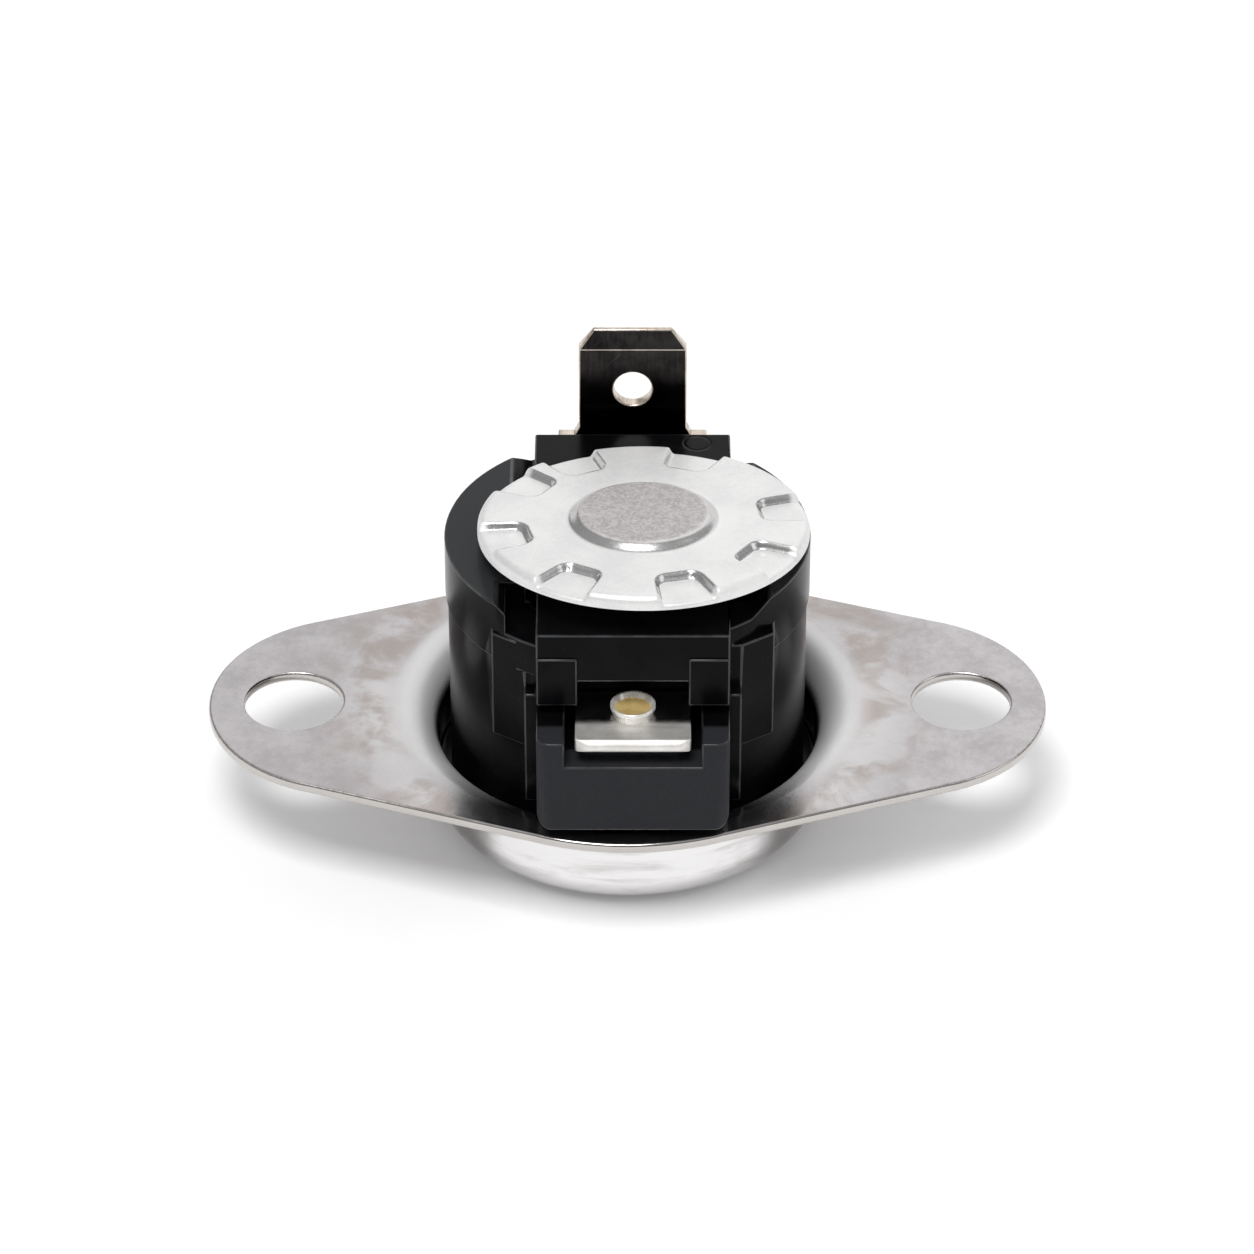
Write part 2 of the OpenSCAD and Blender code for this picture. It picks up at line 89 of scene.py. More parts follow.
class Socket:
    """A value in a shader that Python's own operators can combine."""

    def __init__(self, graph: "Graph", output: bpy.types.NodeSocket) -> None:
        """Keep the graph and the output socket that the value comes from."""
        self.graph = graph
        self.output = output

    def sibling(self, key: Key) -> "Socket":
        """Return another output of the same node."""
        return Socket(self.graph, self.output.node.outputs[key])

    def _math(self, operation: str, first: Term, second: Term) -> "Socket":
        """Return the result of one Math node."""
        return self.graph.node("ShaderNodeMath", {"operation": operation}, {0: first, 1: second})

    def __add__(self, other: Term) -> "Socket":
        """Return self + other."""
        return self._math("ADD", self, other)

    def __radd__(self, other: Term) -> "Socket":
        """Return other + self."""
        return self._math("ADD", other, self)

    def __sub__(self, other: Term) -> "Socket":
        """Return self - other."""
        return self._math("SUBTRACT", self, other)

    def __rsub__(self, other: Term) -> "Socket":
        """Return other - self."""
        return self._math("SUBTRACT", other, self)

    def __mul__(self, other: Term) -> "Socket":
        """Return self * other."""
        return self._math("MULTIPLY", self, other)

    def __rmul__(self, other: Term) -> "Socket":
        """Return other * self."""
        return self._math("MULTIPLY", other, self)

    def __pow__(self, other: Term) -> "Socket":
        """Return self to the power of other."""
        return self._math("POWER", self, other)

    def __abs__(self) -> "Socket":
        """Return the size of self without its sign."""
        return self._math("ABSOLUTE", self, 0.0)


class Graph:
    """The nodes of one material or world, ending in its output node."""

    def __init__(self, tree: bpy.types.NodeTree) -> None:
        """Empty the tree apart from its output node.

        Args:
            tree: Node tree of a material or a world.
        """
        self.tree = tree
        self.end = tree.get_output_node("ALL")
        for spare in [made for made in tree.nodes if made != self.end]:
            tree.nodes.remove(spare)

    def node(self, kind: str, settings: Mapping[str, Any], sockets: Mapping[Key, Any],
             output: Key = 0) -> Socket:
        """Add a node.

        Args:
            kind: Type name of the node.
            settings: Properties of the node, set before its sockets.
            sockets: Numbers, colours, vectors or links, by the input's name or index.
            output: Output that the result stands for.

        Returns:
            The chosen output of the new node.
        """
        made = self.tree.nodes.new(kind)
        for name, value in settings.items():
            setattr(made, name, value)
        for key, value in sockets.items():
            if isinstance(value, Socket):
                self.tree.links.new(value.output, made.inputs[key])
            else:
                made.inputs[key].default_value = value
        return Socket(self, made.outputs[output])

    def close(self, shader: Socket) -> None:
        """Link a shader to the output node."""
        self.tree.links.new(shader.output, self.end.inputs["Surface"])

    def place(self, centre: Sequence[float] = (0, 0, 0), turn: Sequence[float] = (0, 0, 0),
              stretch: Sequence[float] = (1, 1, 1)) -> Socket:
        """Read where a point lies on the piece.

        Args:
            centre: Origin of the pattern in metres.
            turn: Rotation of the pattern in radians.
            stretch: How far the pattern is drawn out along each of its axes.

        Returns:
            The place in millimetres, seen from the pattern's own axes.
        """
        point = self.node("ShaderNodeTexCoord", {}, {}, "Object")
        scale = tuple(MM * share for share in stretch)
        return self.node("ShaderNodeMapping", {"vector_type": "TEXTURE"},
                         {"Vector": point, "Location": tuple(centre), "Rotation": tuple(turn),
                          "Scale": scale})

    def axes(self, place: Socket) -> Tuple[Socket, Socket, Socket]:
        """Return the three coordinates of a place."""
        first = self.node("ShaderNodeSeparateXYZ", {}, {"Vector": place})
        return first, first.sibling(1), first.sibling(2)

    def noise(self, place: Socket, scale: float, detail: float = 3.0, rough: float = 0.55,
              bend: float = 0.0) -> Socket:
        """Return cloudy noise from 0 to 1, with scale in waves per millimetre."""
        return self.node("ShaderNodeTexNoise", {"noise_dimensions": "3D"},
                         {"Vector": place, "Scale": scale, "Detail": detail, "Roughness": rough,
                          "Distortion": bend})

    def ramp(self, value: Socket, low: float, high: float) -> Socket:
        """Return a soft step from 0 at low to 1 at high."""
        return self.node("ShaderNodeMapRange", {"interpolation_type": "SMOOTHSTEP"},
                         {"Value": value, "From Min": low, "From Max": high})

    def blend(self, mask: Term, first: Any, second: Any) -> Socket:
        """Return the first colour where the mask is 0 and the second where it is 1."""
        return self.node("ShaderNodeMix", {"data_type": "RGBA", "clamp_factor": True},
                         {0: mask, 6: first, 7: second}, 2)

    def relief(self, height: Socket, depth: float) -> Socket:
        """Return a normal for a height from 0 to 1 that stands depth millimetres proud."""
        return self.node("ShaderNodeBump", {}, {"Strength": 1.0, "Distance": depth * MM, "Height": height})

    def surface(self, **sockets: Any) -> None:
        """Close the graph with one Principled shader, its inputs named with underscores."""
        named = {name.replace("_", " "): value for name, value in sockets.items()}
        self.close(self.node("ShaderNodeBsdfPrincipled", {}, named))


@dataclass(frozen=True)
class Finish:
    """A surface finish that can be put on pieces."""

    name: str

    def paint(self, graph: Graph) -> None:
        """Fill a material's graph; each finish has its own."""
        raise NotImplementedError

    def material(self) -> bpy.types.Material:
        """Return the finish as a material, made once.

        Returns:
            The material that carries the finish's name.
        """
        known = bpy.data.materials.get(self.name)
        if known is not None:
            return known
        made = bpy.data.materials.new(self.name)
        made.use_nodes = True
        self.paint(Graph(made.node_tree))
        return made


@dataclass(frozen=True)
class PlatedSteel(Finish):
    """Drawn and plated steel sheet, mottled on the flat and polished where it was drawn, with painted shade
    on the cup's sides and foot and painted light on the bend's sides and back. Millimetres.
    """

    name: str = "plated_steel_sheet"
    throat: float = 12.8
    sheet: float = 0.6
    edge_soft: float = 0.08
    wall_low: float = -1.0
    wall_high: float = -0.2
    foot_shade_low: float = -5.85
    foot_shade_high: float = -5.0
    side_shade_from: float = 6.6
    side_shade_full: float = 8.8
    bend_light_from: float = -10.5
    bend_light_full: float = -5.5
    waist_from: float = 7.0
    waist_full: float = 10.5
    gloss: float = 0.36
    tooth: float = 0.006
    pale: Colour = (0.585, 0.562, 0.575, 1.0)
    deep: Colour = (0.43, 0.41, 0.42, 1.0)
    stain: Colour = (0.33, 0.275, 0.235, 1.0)
    rubbed: Colour = (0.70, 0.685, 0.69, 1.0)
    bend: Colour = (0.62, 0.61, 0.615, 1.0)
    bend_light_colour: Colour = (0.78, 0.77, 0.775, 1.0)
    drawn: Colour = (0.86, 0.85, 0.85, 1.0)
    cut: Colour = (0.56, 0.535, 0.51, 1.0)
    tarnish: Colour = (0.40, 0.385, 0.375, 1.0)
    side_shade_colour: Colour = (0.28, 0.27, 0.265, 1.0)
    foot_shade_colour: Colour = (0.22, 0.21, 0.205, 1.0)

    def paint(self, graph: Graph) -> None:
        """Lay clouds, grain and brown stains over the sheet, polish what was drawn or cut, and paint shade
        on the cup's sides and foot and light on the bend's sides and back.

        Args:
            graph: Empty graph of the material.
        """
        place = graph.place()
        x, y, z = graph.axes(place)
        reach = (x * x + y * y) ** 0.5
        cloud = graph.noise(place, 0.3, 4.0, 0.6)
        speck = graph.noise(place, 2.0, 4.0, 0.65)
        grain = graph.noise(place, 8.0, 2.0)
        wander = cloud - 0.5
        # where the sheet was drawn, bent, rubbed, sheared or stained, and where shade and light are painted
        # on the cup and the bend
        wall = 1 - graph.ramp(z, self.wall_low, self.wall_high)
        bend = 1 - graph.ramp(reach + wander * 0.8, self.throat - 0.2, self.throat + 0.7)
        rubbed = 1 - graph.ramp(reach + wander * 4.0, self.throat + 1.0, self.throat + 5.0)
        rubbed = rubbed * (1 - graph.ramp(y, 1.0, 6.0) * 0.7)
        sheared = graph.ramp(z, 0.0, self.edge_soft)
        sheared = sheared * (1 - graph.ramp(z, self.sheet - self.edge_soft, self.sheet)) * (1 - bend)
        ring = graph.ramp(reach, self.throat, self.throat + 1.5)
        ring = ring * (1 - graph.ramp(reach, self.throat + 2.5, self.throat + 6.5))
        blot = graph.noise(place, 0.25, 5.0, 0.6, 0.4) + graph.ramp(y, 0.0, 6.0) * 0.08
        stain = ring * graph.ramp(blot, 0.46, 0.64)
        # painted light: the bend is made paler and less metallic at its sides and back; the paler colour
        # stands in for the light the bend catches there, and the front, where it lies in shade, is left out
        painted_bend_light = bend * (1 - wall) * graph.ramp(y, self.bend_light_from, self.bend_light_full)
        polished = graph.ramp(y * -1.0, self.waist_from, self.waist_full) * rubbed * (1 - wall)
        # painted shade: the cup's wall darkens towards its left and right, standing in for the shadowed
        # floor that its sides mirror
        painted_side_shade = wall * graph.ramp(abs(x) + wander * 1.5, self.side_shade_from, self.side_shade_full)
        # painted shade: the cup darkens towards its bottom corner, standing in for the contact shadow that
        # the corner mirrors
        foot = 1 - graph.ramp(z, self.foot_shade_low, self.foot_shade_high)
        streak = graph.noise(graph.place(stretch=(3.0, 3.0, 0.5)), 0.6, 5.0, 0.65, 0.4)
        rings = graph.noise(graph.place(stretch=(60.0, 60.0, 1.0)), 2.5, 4.0, 0.7)
        # colour, from the flat sheet to the cup
        mottle = graph.ramp(cloud * 0.5 + speck * 0.35 + grain * 0.15, 0.36, 0.64)
        tone = graph.blend(mottle, self.deep, self.pale)
        for mask, colour in ((rubbed * 0.7, self.rubbed), (stain * 0.6, self.stain), (bend, self.bend),
                             (wall, self.drawn), (sheared * (0.7 + speck * 0.4), self.cut),
                             (wall * graph.ramp(streak, 0.45, 0.75) * 0.5, self.tarnish),
                             (painted_side_shade * 0.85, self.side_shade_colour), (foot * 0.75, self.foot_shade_colour),
                             (painted_bend_light * 0.8, self.bend_light_colour)):
            tone = graph.blend(mask, tone, colour)
        rough = self.gloss + ((grain - 0.5) * 0.22 + (speck - 0.5) * 0.16) * (1 - polished * 0.65)
        rough = rough - sheared * 0.18 + painted_bend_light * 0.05 - polished * 0.16
        rough = rough * (1 - wall * 0.8) + wall * (rings - 0.5) * 0.1
        worn = (1 - sheared * 0.85) * (1 - rubbed * 0.6) * (1 - polished * 0.65)
        height = (grain * 0.55 + speck * 0.45) * worn + wall * rings * 0.4
        graph.surface(Base_Color=tone, Metallic=1 - painted_bend_light * 0.65, Roughness=rough,
                      Normal=graph.relief(height, self.tooth))


@dataclass(frozen=True)
class BlackPhenolic(Finish):
    """Glossy black thermoset moulding, satin on its lower blocks, with scuffs, an ejector mark and a painted
    sheen on the rim's top.
    """

    name: str = "black_phenolic_moulding"
    deep: Colour = (0.0022, 0.0023, 0.0027, 1.0)
    pale: Colour = (0.0070, 0.0072, 0.0082, 1.0)
    satin: Colour = (0.0285, 0.0295, 0.0335, 1.0)
    rim: Colour = (0.033, 0.034, 0.037, 1.0)
    mirror: float = 0.07
    block_y: float = 11.5
    block_top: float = 7.0
    rim_z: float = 12.0
    rim_x: float = 5.8
    gloss: float = 0.15
    tooth: float = 0.012
    mark_x: float = 4.0
    mark_y: float = 9.3
    mark_r: float = 0.75

    def paint(self, graph: Graph) -> None:
        """Vary the gloss, add flow marks, hairline scuffs and ejector rings, and paint a sheen on the rim's
        top.

        Args:
            graph: Empty graph of the material.
        """
        place = graph.place()
        x, y, z = graph.axes(place)
        cloud = graph.noise(place, 0.35, 4.0, 0.6)
        grain = graph.noise(place, 9.0, 2.0)
        drawn_out = graph.place(turn=(0.0, 0.0, math.radians(25)), stretch=(7.0, 0.45, 1.0))
        scuff = graph.ramp(graph.noise(drawn_out, 1.3, 3.0, 0.6), 0.66, 0.73)
        side = x - self.mark_x
        depth = y - self.mark_y
        ring = abs((side * side + depth * depth) ** 0.5 - self.mark_r)
        mark = (1 - graph.ramp(ring, 0.03, 0.13)) * graph.ramp(z, self.rim_z - 0.1, self.rim_z)
        block = graph.ramp(abs(y), self.block_y - 0.2, self.block_y + 0.2)
        block = block * (1 - graph.ramp(z, self.block_top - 0.05, self.block_top + 0.15))
        tone = graph.blend(graph.ramp(cloud, 0.4, 0.7) * 0.6 + scuff * 0.3, self.deep, self.pale)
        tone = graph.blend(block * (0.7 + grain * 0.5), tone, self.satin)
        # painted sheen: the rim's top is painted paler at the left and right, standing in for the light it
        # reflects there
        rim = graph.ramp(z, self.rim_z - 0.05, self.rim_z + 0.05)
        rim = rim * graph.ramp(abs(x), self.rim_x, self.rim_x + 0.5)
        tone = graph.blend(rim * (0.7 + grain * 0.5), tone, self.rim)
        rough = self.gloss + cloud * 0.14 + (grain - 0.5) * 0.08 + scuff * 0.12 + block * 0.18
        height = grain * (0.2 + block * 0.3) + cloud * 0.5 - mark * 2.5 + scuff * 0.2
        graph.surface(Base_Color=tone, Roughness=rough, Specular_IOR_Level=self.mirror,
                      Normal=graph.relief(height, self.tooth))


@dataclass(frozen=True)
class EdgeWearAndHighlight(Finish):
    """Edges of the black moulding, painted paler in places: a painted highlight along the edges, and partly
    rubbing wear.
    """

    name: str = "moulding_edge_wear_and_highlight"
    dark: Colour = (0.0085, 0.0087, 0.0097, 1.0)
    pale: Colour = (0.031, 0.032, 0.0358, 1.0)
    gloss: float = 0.26
    tooth: float = 0.004

    def paint(self, graph: Graph) -> None:
        """Break the pale edge colour, a painted highlight and partly rubbing wear, up along the edge.

        Args:
            graph: Empty graph of the material.
        """
        place = graph.place()
        worn = graph.ramp(graph.noise(place, 0.9, 4.0, 0.65), 0.34, 0.66)
        grain = graph.noise(place, 9.0, 2.0)
        graph.surface(Base_Color=graph.blend(worn, self.dark, self.pale),
                      Roughness=self.gloss + grain * 0.12, Normal=graph.relief(grain, self.tooth))


@dataclass(frozen=True)
class SatinAluminium(Finish):
    """Bright satin sheet, with a darker, crystalline patch on top of the dome and painted shade on its
    pressed slopes.
    """

    name: str = "satin_aluminium_sheet"
    centre: Tuple[float, float, float] = (0.0, 0.0, 0.0)
    lean: float = 0.0
    dome_top: float = 3.2
    rim_r: float = 9.25
    gloss: float = 0.50
    tooth: float = 0.006
    bright: Colour = (0.875, 0.87, 0.865, 1.0)
    soft: Colour = (0.78, 0.775, 0.775, 1.0)
    crown: Colour = (0.62, 0.595, 0.59, 1.0)
    crown_deep: Colour = (0.42, 0.40, 0.395, 1.0)
    slope_shade: Colour = (0.50, 0.495, 0.495, 1.0)

    def paint(self, graph: Graph) -> None:
        """Mottle the plate finely and the dome's top coarsely, polish the pressed slopes and paint shade on
        them.

        Args:
            graph: Empty graph of the material.
        """
        place = graph.place(self.centre, (-math.radians(self.lean), 0.0, 0.0))
        x, y, _ = graph.axes(place)
        reach = (x * x + y * y) ** 0.5
        cloud = graph.noise(place, 0.35, 4.0, 0.6)
        grain = graph.noise(place, 7.0, 3.0)
        crystal = graph.noise(place, 2.6, 5.0, 0.7, 1.6)
        crown = 1 - graph.ramp(reach + (cloud - 0.5) * 0.5, self.dome_top - 0.25, self.dome_top + 0.2)
        facing = graph.axes(graph.node("ShaderNodeTexCoord", {}, {}, "Normal"))[2]
        slope = 1 - graph.ramp(abs(facing), 0.88, 0.985)
        slope = slope * (1 - graph.ramp(reach, self.rim_r - 0.7, self.rim_r - 0.3))
        plate = graph.blend(graph.ramp(cloud * 0.6 + grain * 0.4, 0.35, 0.62), self.soft, self.bright)
        top = graph.blend(graph.ramp(crystal, 0.38, 0.62), self.crown_deep, self.crown)
        # painted shade: the pressed slopes of the dome and pockets are painted darker grey, standing in for
        # the dark reflections they show
        plate = graph.blend(slope * 0.6, plate, self.slope_shade)
        rough = self.gloss + (grain - 0.5) * 0.18 + crown * (crystal - 0.5) * 0.3 - slope * 0.25
        height = grain * 0.5 * (1 - slope * 0.85) + crown * crystal * 0.8
        graph.surface(Base_Color=graph.blend(crown, plate, top), Metallic=0.5 + slope * 0.5,
                      Roughness=rough, Normal=graph.relief(height, self.tooth))


class Metal(Enum):
    """Metals of the terminals, rivets and switch works: tone, darker tone and roughness."""

    # bright edge tones, also used for a painted highlight along the rear blade's tip crease
    SHEARED_EDGE_AND_HIGHLIGHT = ((0.78, 0.70, 0.62, 1.0), (0.50, 0.42, 0.35, 1.0), 0.28)
    # painted reflection: near-black tones that stand in for the dark surroundings mirrored by the rear
    # blade's faces
    DARK_REFLECTION_FACE = ((0.040, 0.037, 0.036, 1.0), (0.016, 0.015, 0.015, 1.0), 0.2)
    RIVET = ((0.94, 0.925, 0.89, 1.0), (0.82, 0.80, 0.76, 1.0), 0.27)
    BRASS = ((0.92, 0.70, 0.30, 1.0), (0.74, 0.52, 0.19, 1.0), 0.32)
    BRONZE = ((0.72, 0.47, 0.28, 1.0), (0.55, 0.34, 0.19, 1.0), 0.27)
    SILVER = ((0.88, 0.87, 0.84, 1.0), (0.74, 0.72, 0.68, 1.0), 0.30)
    BIMETAL = ((0.60, 0.56, 0.52, 1.0), (0.43, 0.39, 0.35, 1.0), 0.33)


@dataclass(frozen=True)
class WorkedMetal(Finish):
    """Rolled or plated metal with faint clouds, rolling lines and hairline scratches."""

    metal: Metal = Metal.SILVER
    lines_along: Tuple[float, float, float] = (1.0, 12.0, 1.0)
    scratches: float = 0.5
    mirror: float = 1.0
    tooth: float = 0.002

    def paint(self, graph: Graph) -> None:
        """Mix the metal's two tones and break up its gloss.

        Args:
            graph: Empty graph of the material.
        """
        tone, deep, gloss = self.metal.value
        place = graph.place()
        cloud = graph.noise(place, 0.7, 4.0, 0.6)
        grain = graph.noise(place, 10.0, 2.0)
        lines = graph.noise(graph.place(stretch=self.lines_along), 6.0, 2.0)
        hair_place = graph.place(turn=(0.4, 0.5, 0.6), stretch=(6.0, 0.3, 6.0))
        hair = graph.ramp(graph.noise(hair_place, 1.6, 2.0), 0.67, 0.72) * self.scratches
        mix = graph.ramp(cloud * 0.7 + lines * 0.3, 0.35, 0.65)
        colour = graph.blend(hair * 0.5, graph.blend(mix, deep, tone), grey(0.75, 0.05))
        rough = gloss + (cloud - 0.5) * 0.12 + (grain - 0.5) * 0.06 + hair * 0.15
        height = lines * 0.5 + grain * 0.3 - hair
        graph.surface(Base_Color=colour, Metallic=self.mirror, Roughness=rough,
                      Normal=graph.relief(height, self.tooth))


@dataclass(frozen=True)
class TinnedBlade(Finish):
    """Bright plated blade, polished under the rivet and matt with solder at its free end."""

    name: str = "tinned_front_blade"
    matt_from: float = -11.1
    gloss: float = 0.19
    tooth: float = 0.003
    bright: Colour = (0.90, 0.89, 0.87, 1.0)
    worn: Colour = (0.76, 0.74, 0.71, 1.0)

    def paint(self, graph: Graph) -> None:
        """Roughen the free end and cloud the plating.

        Args:
            graph: Empty graph of the material.
        """
        place = graph.place()
        _, y, _ = graph.axes(place)
        cloud = graph.noise(place, 0.9, 4.0, 0.6)
        grain = graph.noise(place, 9.0, 2.0)
        lines = graph.noise(graph.place(stretch=(14.0, 1.0, 1.0)), 6.0, 2.0)
        matt = 1 - graph.ramp(y + (cloud - 0.5) * 0.5, self.matt_from - 0.35, self.matt_from + 0.35)
        tone = graph.blend(graph.ramp(cloud * 0.7 + lines * 0.3, 0.35, 0.65), self.worn, self.bright)
        rough = self.gloss + matt * 0.42 + (cloud - 0.5) * 0.12 + (grain - 0.5) * 0.08
        height = lines * 0.4 + grain * (0.3 + matt * 0.6)
        graph.surface(Base_Color=tone, Metallic=1.0, Roughness=rough,
                      Normal=graph.relief(height, self.tooth))


@dataclass(frozen=True)
class WhiteCeramic(Finish):
    """Fired ceramic of the pin, matt and faintly speckled."""

    name: str = "white_ceramic_pin"
    bright: Colour = (0.82, 0.80, 0.75, 1.0)
    speck: Colour = (0.66, 0.63, 0.57, 1.0)
    gloss: float = 0.45
    tooth: float = 0.004

    def paint(self, graph: Graph) -> None:
        """Speckle the body and roughen its skin.

        Args:
            graph: Empty graph of the material.
        """
        place = graph.place()
        speck = graph.ramp(graph.noise(place, 4.0, 3.0), 0.56, 0.70)
        grain = graph.noise(place, 12.0, 2.0)
        graph.surface(Base_Color=graph.blend(speck, self.bright, self.speck),
                      Roughness=self.gloss + grain * 0.2, Normal=graph.relief(grain, self.tooth))


@dataclass(frozen=True)
class StudioPaper(Finish):
    """White sweep under the object, which shows white and keeps the shadow."""

    name: str = "studio_paper"
    glow: float = 0.13
    tone: float = 0.94

    def paint(self, graph: Graph) -> None:
        """Lift the paper towards white for eye, gloss and glass, under the lamps' own shading.

        Args:
            graph: Empty graph of the material.
        """
        ray = graph.node("ShaderNodeLightPath", {}, {}, "Is Camera Ray")
        seen = ray + ray.sibling("Is Glossy Ray") + ray.sibling("Is Transmission Ray")
        fibre = graph.noise(graph.place(), 0.5, 3.0)
        tone = graph.blend(fibre, grey(self.tone), grey(self.tone + 0.02))
        paper = graph.node("ShaderNodeBsdfDiffuse", {}, {"Color": tone})
        light = graph.node("ShaderNodeEmission", {}, {"Color": grey(1.0), "Strength": self.glow})
        lifted = graph.node("ShaderNodeAddShader", {}, {0: paper, 1: light})
        graph.close(graph.node("ShaderNodeMixShader", {}, {0: seen, 1: paper, 2: lifted}))


def to_object(name: str, mesh: bmesh.types.BMesh, finishes: Sequence[Finish]) -> bpy.types.Object:
    """Turn a finished bmesh into an object at the origin.

    Args:
        name: Name of the piece.
        mesh: Its shape in metres, in the frame of the part; freed here.
        finishes: Finishes in the order of the faces' material indices.

    Returns:
        The new object, linked to the scene.
    """
    data = bpy.data.meshes.new(name)
    mesh.to_mesh(data)
    mesh.free()
    for finish in finishes:
        data.materials.append(finish.material())
    made = bpy.data.objects.new(name, data)
    bpy.context.scene.collection.objects.link(made)
    return made


def shade(mesh: bmesh.types.BMesh, crease: float) -> None:
    """Shade faces smooth and keep edges sharper than crease degrees as they are.

    Args:
        mesh: Mesh of the piece.
        crease: Smallest angle that stays sharp, in degrees.
    """
    for face in mesh.faces:
        face.smooth = True
    for edge in mesh.edges:
        edge.smooth = len(edge.link_faces) == 2 and edge.calc_face_angle() < math.radians(crease)


def creases(mesh: bmesh.types.BMesh, angle: float) -> List[bmesh.types.BMEdge]:
    """Return the edges where two faces meet at more than an angle in degrees."""
    limit = math.radians(angle)
    return [edge for edge in mesh.edges
            if len(edge.link_faces) == 2 and edge.calc_face_angle() > limit]


def weigh_normals(piece: bpy.types.Object) -> None:
    """Let the broad faces of a piece keep flat shading beside their rounded edges.

    Args:
        piece: Piece with rounded edges.
    """
    weigher = piece.modifiers.new("broad_faces_flat", "WEIGHTED_NORMAL")
    weigher.keep_sharp = True
    weigher.weight = BROAD_FACE_WEIGHT


def softened(node: str) -> bmesh.types.BMesh:
    """Copy a solid of the frame with its loose triangles merged into broad faces.

    Args:
        node: Name of the solid.

    Returns:
        A bmesh in metres that can be bevelled.
    """
    mesh = bmesh.new()
    mesh.from_mesh(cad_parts[node].data)
    bmesh.ops.remove_doubles(mesh, verts=mesh.verts, dist=MERGE_GAP)
    bmesh.ops.dissolve_limit(mesh, angle_limit=FLAT_WITHIN, verts=mesh.verts, edges=mesh.edges)
    return mesh


def bevel_strips(mesh: bmesh.types.BMesh, edges: Sequence[bmesh.types.BMEdge], width: float,
                 finish: int) -> None:
    """Turn edges into rounded strips, with a width in millimetres and a material index.

    Args:
        mesh: Mesh of the piece.
        edges: Edges that are rounded.
        width: Width of the rounding in millimetres.
        finish: Material index of the strips.
    """
    made = bmesh.ops.bevel(mesh, geom=edges, offset=width * MM, offset_type="OFFSET", affect="EDGES",
                           segments=2, profile=0.5, material=-1, clamp_overlap=False)
    for strip in made["faces"]:
        strip.material_index = finish


def round_edges(mesh: bmesh.types.BMesh, width: float, angle: float = 30.0, finish: int = 0) -> None:
    """Bevel every outer crease of a copied solid.

    Args:
        mesh: The copy.
        width: Width of the rounding in millimetres.
        angle: Smallest crease that is rounded, in degrees.
        finish: Material index of the rounded strips.
    """
    outer = [edge for edge in creases(mesh, angle) if edge.is_convex]
    bevel_strips(mesh, outer, width, finish)
    shade(mesh, SHARP_FROM)


def lathe(profile: Sequence[Tuple[float, float]], turns: int) -> bmesh.types.BMesh:
    """Spin a half section round the Z axis.

    Args:
        profile: Radius and height of each point, in millimetres, from axis to axis.
        turns: Number of steps in the full turn.

    Returns:
        A closed or open skin of revolution, in millimetres.
    """
    mesh = bmesh.new()
    points = [mesh.verts.new((radius, 0.0, height)) for radius, height in profile]
    chain = [mesh.edges.new(pair) for pair in zip(points, points[1:])]
    bmesh.ops.spin(mesh, geom=points + chain, cent=(0, 0, 0), axis=(0, 0, 1), dvec=(0, 0, 0),
                   angle=math.tau, steps=turns, use_merge=True, use_duplicate=False)
    bmesh.ops.remove_doubles(mesh, verts=mesh.verts, dist=WELD_GAP_MM)
    bmesh.ops.recalc_face_normals(mesh, faces=mesh.faces)
    return mesh


def seat(piece: bpy.types.Object, body: str, slot: str, *nodes: str) -> bpy.types.Object:
    """Let a piece stand for its solids and ride on a body.

    Args:
        piece: Finished piece.
        body: Body that it rides on.
        slot: Finish slot of the record; not used.
        nodes: Solids that it stands for.

    Returns:
        The same piece.
    """
    if nodes:
        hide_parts(*nodes)
    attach(piece, body)
    LOG.info("piece %s on %s", piece.name, body)
    return piece


@dataclass
class Flange:
    """Drawn sheet with two screw holes and the sensing cup."""

    edge_round: float = 0.16
    finish: Finish = field(default_factory=PlatedSteel)

    def build(self) -> bpy.types.Object:
        """Return the sheet with burnished edges.

        Returns:
            The dressed flange.
        """
        mesh = softened("mounting_flange")
        round_edges(mesh, self.edge_round)
        piece = to_object("flange_sheet", mesh, [self.finish])
        weigh_normals(piece)
        return seat(piece, CASE, "plated_steel", "mounting_flange")


@dataclass
class MouldedBody:
    """Black switch body with its collar and terminal blocks."""

    edge_round: float = 0.1
    finish: Finish = field(default_factory=BlackPhenolic)

    def build(self) -> bpy.types.Object:
        """Return the moulding with the small radii of its mould.

        Returns:
            The dressed moulding.
        """
        mesh = softened("switch_body")
        # the rounded edge strips take the paler edge finish, partly a painted highlight and partly rubbing
        # wear
        round_edges(mesh, self.edge_round, finish=1)
        piece = to_object("moulded_body", mesh, [self.finish, EdgeWearAndHighlight()])
        weigh_normals(piece)
        return seat(piece, CASE, "black_phenolic", "switch_body")


def soft_step(value: float, low: float, high: float) -> float:
    """Return 0 below low, 1 above high and a smooth rise between."""
    share = min(1.0, max(0.0, (value - low) / (high - low)))
    return share * share * (3 - 2 * share)


